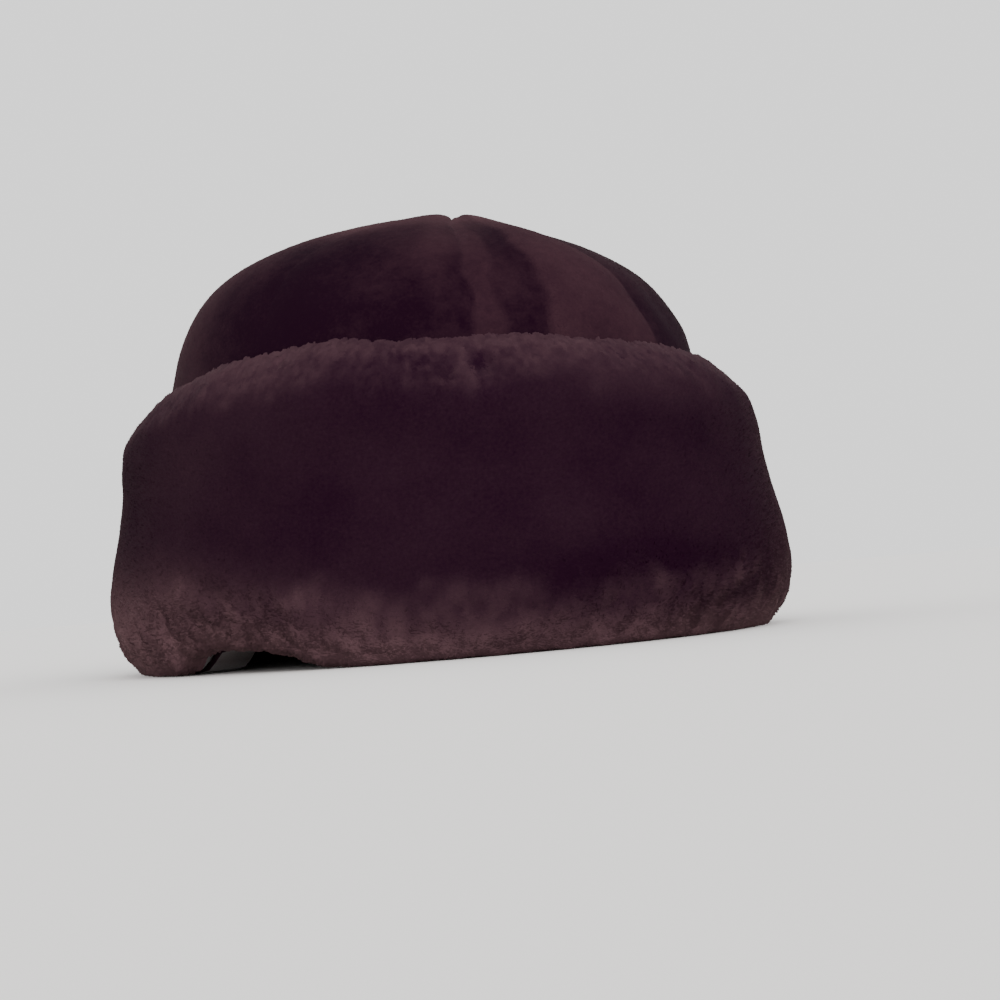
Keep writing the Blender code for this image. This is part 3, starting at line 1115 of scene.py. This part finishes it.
@dataclass
class Cuff:
    """The cuff: a ring of sheepskin, and its pile in quarters.

    Each of its wanders is how far the edges of its bands go up and down, and the size of that
    change. Each of its leans is how much more the nap leans, and how that rises with the height.
    """

    form: CuffForm
    pile: Pile
    materials: list[bpy.types.Material]
    mottle: Mottle
    columns: int = 721
    rows: int = 111
    quarters: int = 4
    thin: int = 2
    seed: int = 210
    wanders: tuple = ((0.0060, 0.020), (0.0042, 0.0065))
    above_low: Rise = Rise(0.014, 0.016)
    in_high: Rise = Rise(0.084, 0.016)
    plain_tone: float = 0.04
    # The bands' tones are partly the loose pile and partly painted sheen; the fold's and the free
    # edge's are painted light
    low_band_fluff_and_sheen: float = 0.19
    high_band_fluff_and_sheen: float = 0.12
    fold_painted_light: float = 0.48
    above_fold: Rise = Rise(0.0, 0.016)
    edge_painted_light: float = 0.08
    edge: Rise = Rise(0.0975, 0.005)
    cloud_tone: float = 0.02
    cloud_size: float = 0.024
    lump: float = 0.0070
    lump_height: float = 0.0006
    lump_height_at_edge: float = 0.35
    lump_upright: float = 0.60
    lump_reach: float = 0.62
    lump_tone: float = 0.06
    lump_tone_inside: float = 0.07
    lump_round: float = 0.10
    lump_tone_at_edge: float = 0.25
    lumps_grow: Rise = Rise(0.0, 0.012)
    pile_grows: Rise = Rise(0.0, 0.013)
    streak: float = 0.0017
    streak_upright: float = 0.30
    streak_tone: float = 0.085
    streak_tone_at_fold: float = 0.6
    skin_near_tip: float = 0.86
    edge_near_tip: float = 0.3
    edge_skin_tone: float = 0.1
    first_share: float = 0.03
    least_height: float = 0.0003
    uneven_rest: float = 0.0006
    swirl: float = 0.12
    swirl_size: float = 0.035
    lean_at_fold: float = 0.28
    leans: tuple = ((0.32, Rise(0.020, 0.030)), (0.30, Rise(0.070, 0.030)))
    part_reach: float = 4.5
    part_lean: float = 1.6
    parts: Rise = Rise(0.078, 0.010)
    loosens: Rise = Rise(0.088, 0.014)
    fold_loose: float = 0.55
    fold_firms: Rise = Rise(0.010, 0.02)

    def __post_init__(self) -> None:
        """Lays out the columns round the cuff, from the seam on, and the rows up it."""
        self.azimuths = self.form.seam + np.linspace(0.0, 360.0, self.columns)
        self.places = np.linspace(0.0, 1.0, self.rows)
        self.height, self.stand, _ = along_table(CUFF_ROWS, self.places).T

    def tones(self, azimuth: Array, height: Array, points: Array) -> Array:
        """How light the pile is at places on the cuff: lighter in bands along both edges, partly
        the loose pile there and partly painted sheen where the roll turns from the eye, with
        painted light under the fold and along the free edge.
        """
        low, high = self.bands(height, points)
        # Painted light on the fold's underside, which curves into shade, and along the free edge;
        # the low and high bands are partly the loose pile and partly painted sheen
        fold = 1.0 - self.above_fold.at(height)
        tone = self.plain_tone + low * (self.low_band_fluff_and_sheen + self.fold_painted_light * fold)
        tone = tone + self.high_band_fluff_and_sheen * high + self.edge_painted_light * self.edge.at(height)
        tone = tone + soft_spots(CUFF_LIGHT_AND_SHADE_PATCHES, azimuth, height)
        inside, value = self.lumps(points)
        clumps = (self.lump_tone + self.lump_tone_inside * inside) * value
        clumps = clumps + self.lump_round * (inside - 0.5)
        clumps = clumps * np.maximum(low, high * self.lump_tone_at_edge)
        streaks = self.mottle.at(points * (1.0, 1.0, self.streak_upright), self.streak)
        streaks = self.streak_tone * streaks * np.maximum(self.streak_tone_at_fold * low, high)
        clouds = self.cloud_tone * self.mottle.at(points, self.cloud_size)
        return np.clip(tone + clumps + streaks + clouds, 0.0, 1.0)

    def bands(self, height: Array, points: Array) -> tuple[Array, Array]:
        """How far places belong to the loose bands along the fold and along the free edge."""
        wander = sum(reach * self.mottle.at(points, size) for reach, size in self.wanders)
        return 1.0 - self.above_low.at(height + wander), self.in_high.at(height + wander)

    def lumps(self, points: Array) -> tuple[Array, Array]:
        """How near places are to the middle of an upright lump, and each lump's own value."""
        way, value = self.mottle.lock(points * (1.0, 1.0, self.lump_upright), self.lump)
        far = np.linalg.norm(way, axis=1) / (self.lump_reach * self.lump)
        return np.clip(1.0 - far * far, 0.0, 1.0), value

    def build(self) -> None:
        """Makes the ring and the quarters of pile."""
        points = self.form.outer(self.azimuths, self.places)
        flat = points.reshape(-1, 3)
        up = np.tile(self.height, self.columns)
        low, high = self.bands(up, flat)
        inside, _ = self.lumps(flat)
        lumpy = inside * np.maximum(low, self.lump_height_at_edge * high) * self.lump_height
        lumpy = lumpy.reshape(points.shape[:2]) * self.lumps_grow.at(self.stand)
        sheet = Sheet(points + Sheet(points).normals * lumpy[..., None])
        for grid in (sheet.normals, sheet.up):
            grid[0] = grid[-1] = unit(grid[0] + grid[-1])
        inset = self.pile.depth * self.pile_grows.at(self.stand) * np.ones((self.columns, 1))
        skin = sheet.points - sheet.normals * inset[..., None]
        skin[..., 2] = np.maximum(skin[..., 2], Tufts.LEAST_HEIGHT)
        around = np.repeat(self.azimuths, self.rows)
        tones = self.tones(around, up, skin.reshape(-1, 3)).reshape(skin.shape[:2])
        skin, tones = (grid[::self.thin, ::self.thin] for grid in (skin, tones))
        ring = Piece("cuff_skin", Fleece.CUFF, ("cuff",))
        # The skin seen between the tufts is a little darker, towards the roots' colour: partly the
        # underfur and partly painted shade under the pile
        ring.add_surface(skin, Face.PILE, tones, self.skin_near_tip)
        inner = self.form.inner(self.azimuths)[::self.thin]
        # The lip down into the gap against the crown is mostly the roots' dark colour: painted
        # shade in the narrow gap
        edge = np.stack((skin[:, -1], inner[:, 0], inner[:, 1]), axis=1)
        ring.add_surface(edge, Face.PILE, self.edge_skin_tone, self.edge_near_tip)
        inner = np.concatenate((inner[:, 1:], skin[:, :1]), axis=1)
        ring.add_surface(inner, Face.SKIN, 0.0, 0.0)
        ring.build(self.materials)
        for number in range(self.quarters):
            self.quarter(number, sheet, inset)

    def quarter(self, number: int, sheet: Sheet, inset: Array) -> None:
        """Makes a quarter of the cuff's pile.

        Args:
            number: which quarter, from 0, starting at the seam.
            sheet: the outer surface of the pile, all round.
            inset: how far the skin lies below it, in metres.
        """
        chance = np.random.default_rng(self.seed + number)
        each = (self.columns - 1) // self.quarters
        span = slice(number * each, (number + 1) * each + 1)
        part = Sheet(sheet.points[span])
        part.normals = sheet.normals[span]
        part.up = sheet.up[span]
        u, v = part.scatter(self.pile.spacing, chance, (self.first_share, 1.0))
        here = part.read(part.points, u, v)
        azimuth = part.value(self.azimuths[span, None], u, v)
        up = part.value(self.height, u, v)
        along = unit(part.read(-part.up, u, v))
        sideways = np.cross(along, part.read(part.normals, u, v))
        swirl = self.mottle.at(here, self.swirl_size)[:, None]
        away = signed(azimuth - self.form.parting(up))
        near = np.exp(-(away / self.part_reach) ** 2) * self.parts.at(up)
        lean = self.lean_at_fold
        for more, rise in self.leans:
            lean = lean + more * rise.at(up)
        combed = along * lean[:, None] + sideways * swirl * self.swirl
        combed = combed - sideways * (np.sign(away) * near * self.part_lean)[:, None]
        fluff = np.maximum(self.loosens.at(up), self.fold_loose * (1.0 - self.fold_firms.at(up)))
        roots, tips, widths = self.pile.grow(part, u, v, part.value(inset[span], u, v), combed,
                                             self.mottle, chance, fluff)
        roots[:, 2] = np.maximum(roots[:, 2], self.least_height)
        resting = self.least_height + self.uneven_rest * chance.random(len(tips))
        tips[:, 2] = np.maximum(tips[:, 2], resting)
        normals = unit(part.read(part.normals, u, v))
        tones = self.tones(azimuth, up, here)
        piece = Piece(f"cuff_pile_{number + 1}", Fleece.CUFF, ("cuff",))
        piece.add_tufts(Tufts(roots, tips, widths, tones, normals), chance)
        piece.build(self.materials)


@dataclass(frozen=True)
class PhotoCamera:
    """The camera at the photograph's angle: low, a little to the left of the front, and rolled."""

    place: tuple[float, float, float] = (-0.0979, -0.7436, 0.022)
    forward: tuple[float, float, float] = (0.1305, 0.9914, 0.0)
    roll: float = math.radians(4.85)
    focal_share: float = 1.924
    sensor: float = 36.0
    shift: tuple[float, float] = (0.049, 0.092)

    def build(self) -> None:
        """Makes the camera and sets it as the scene's."""
        data = bpy.data.cameras.new("photo_camera")
        data.sensor_width = self.sensor
        data.lens = self.focal_share * self.sensor
        data.shift_x, data.shift_y = self.shift
        data.clip_start = 0.01
        camera = add_object("photo_camera", data)
        ahead = Vector(self.forward).normalized()
        up = Vector((0.0, 0.0, 1.0))
        right = ahead.cross(up)
        turned_right = right * math.cos(self.roll) - up * math.sin(self.roll)
        turned_up = right * math.sin(self.roll) + up * math.cos(self.roll)
        axes = Matrix((turned_right, turned_up, -ahead)).transposed()
        camera.matrix_world = Matrix.Translation(self.place) @ axes.to_4x4()
        bpy.context.scene.camera = camera


@dataclass(frozen=True)
class Studio:
    """A plain pale floor under a plain pale sky, with one wide soft light from the front."""

    floor_reach: float = 40.0
    sky: str = "#FFFFFF"
    sky_light: float = 1.20
    backdrop_light: float = 1.40
    sun_power: float = 2.6
    sun_width: float = math.radians(60.0)
    sun_from: tuple[float, float, float] = (0.05, -1.0, 0.55)

    def build(self) -> None:
        """Makes the floor, the sky and the front light."""
        mesh = bpy.data.meshes.new("floor")
        far = self.floor_reach
        mesh.from_pydata([(-far, -far, 0), (far, -far, 0), (far, far, 0), (-far, far, 0)],
                         [], [(0, 1, 2, 3)])
        mesh.materials.append(MattPaint().material())
        floor = add_object("floor", mesh)
        # The sky is brighter to the camera than as a light, for a pale ground behind a dark hat
        world = bpy.data.worlds.new("studio")
        world.use_nodes = True
        tree = world.node_tree
        tree.nodes.clear()
        ray = add_node(tree, "LightPath")
        lit = add_node(tree, "Background",
                       {"Color": linear(self.sky), "Strength": self.sky_light})
        seen = add_node(tree, "Background",
                        {"Color": linear(self.sky), "Strength": self.backdrop_light})
        both = add_node(tree, "MixShader", None, {
            0: ray.outputs["Is Camera Ray"],
            1: lit.outputs[0],
            2: seen.outputs[0],
        })
        add_node(tree, "OutputWorld", links={"Surface": both.outputs[0]})
        bpy.context.scene.world = world
        data = bpy.data.lights.new("front_softlight", "SUN")
        data.energy = self.sun_power
        data.angle = self.sun_width
        sun = add_object("front_softlight", data)
        sun.rotation_mode = "QUATERNION"
        sun.rotation_quaternion = Vector(self.sun_from).to_track_quat("Z", "Y")


def main() -> None:
    """Builds the whole picture: the camera, the studio, the gores and the cuff."""
    logging.basicConfig(level=logging.INFO, format="%(message)s")
    PhotoCamera().build()
    Studio().build()
    mottle = Mottle(MOTTLE_SEED)
    skin = NappedSkin().material()
    crown_pile = ShearedPile("crown_sheared_sheepskin_pile", "#12050F", "#170312", "#5B3E43")
    cuff_pile = ShearedPile("cuff_sheared_sheepskin_pile", "#12050F", "#1B0516", "#5F464A")
    crown_finish = [crown_pile.material(), skin]
    cuff_finish = [cuff_pile.material(), skin]
    form = CrownForm()
    crown_growth = Pile(spacing=0.00062, depth=0.0003, width=0.00130, proud=0.0003,
                        slant=1.90, scatter=0.25, lock=0.0022, gather=0.04)
    cuff_growth = Pile(spacing=0.00062, depth=0.0006, width=0.00120, proud=0.0004,
                       slant=0.90, scatter=0.16, lock=0.0026, gather=0.05)
    for number in range(1, GORES + 1):
        Gore(number, form, crown_growth, crown_finish, mottle).build()
    Cuff(CuffForm(form), cuff_growth, cuff_finish, mottle).build()


if __name__ == "__main__":
    main()
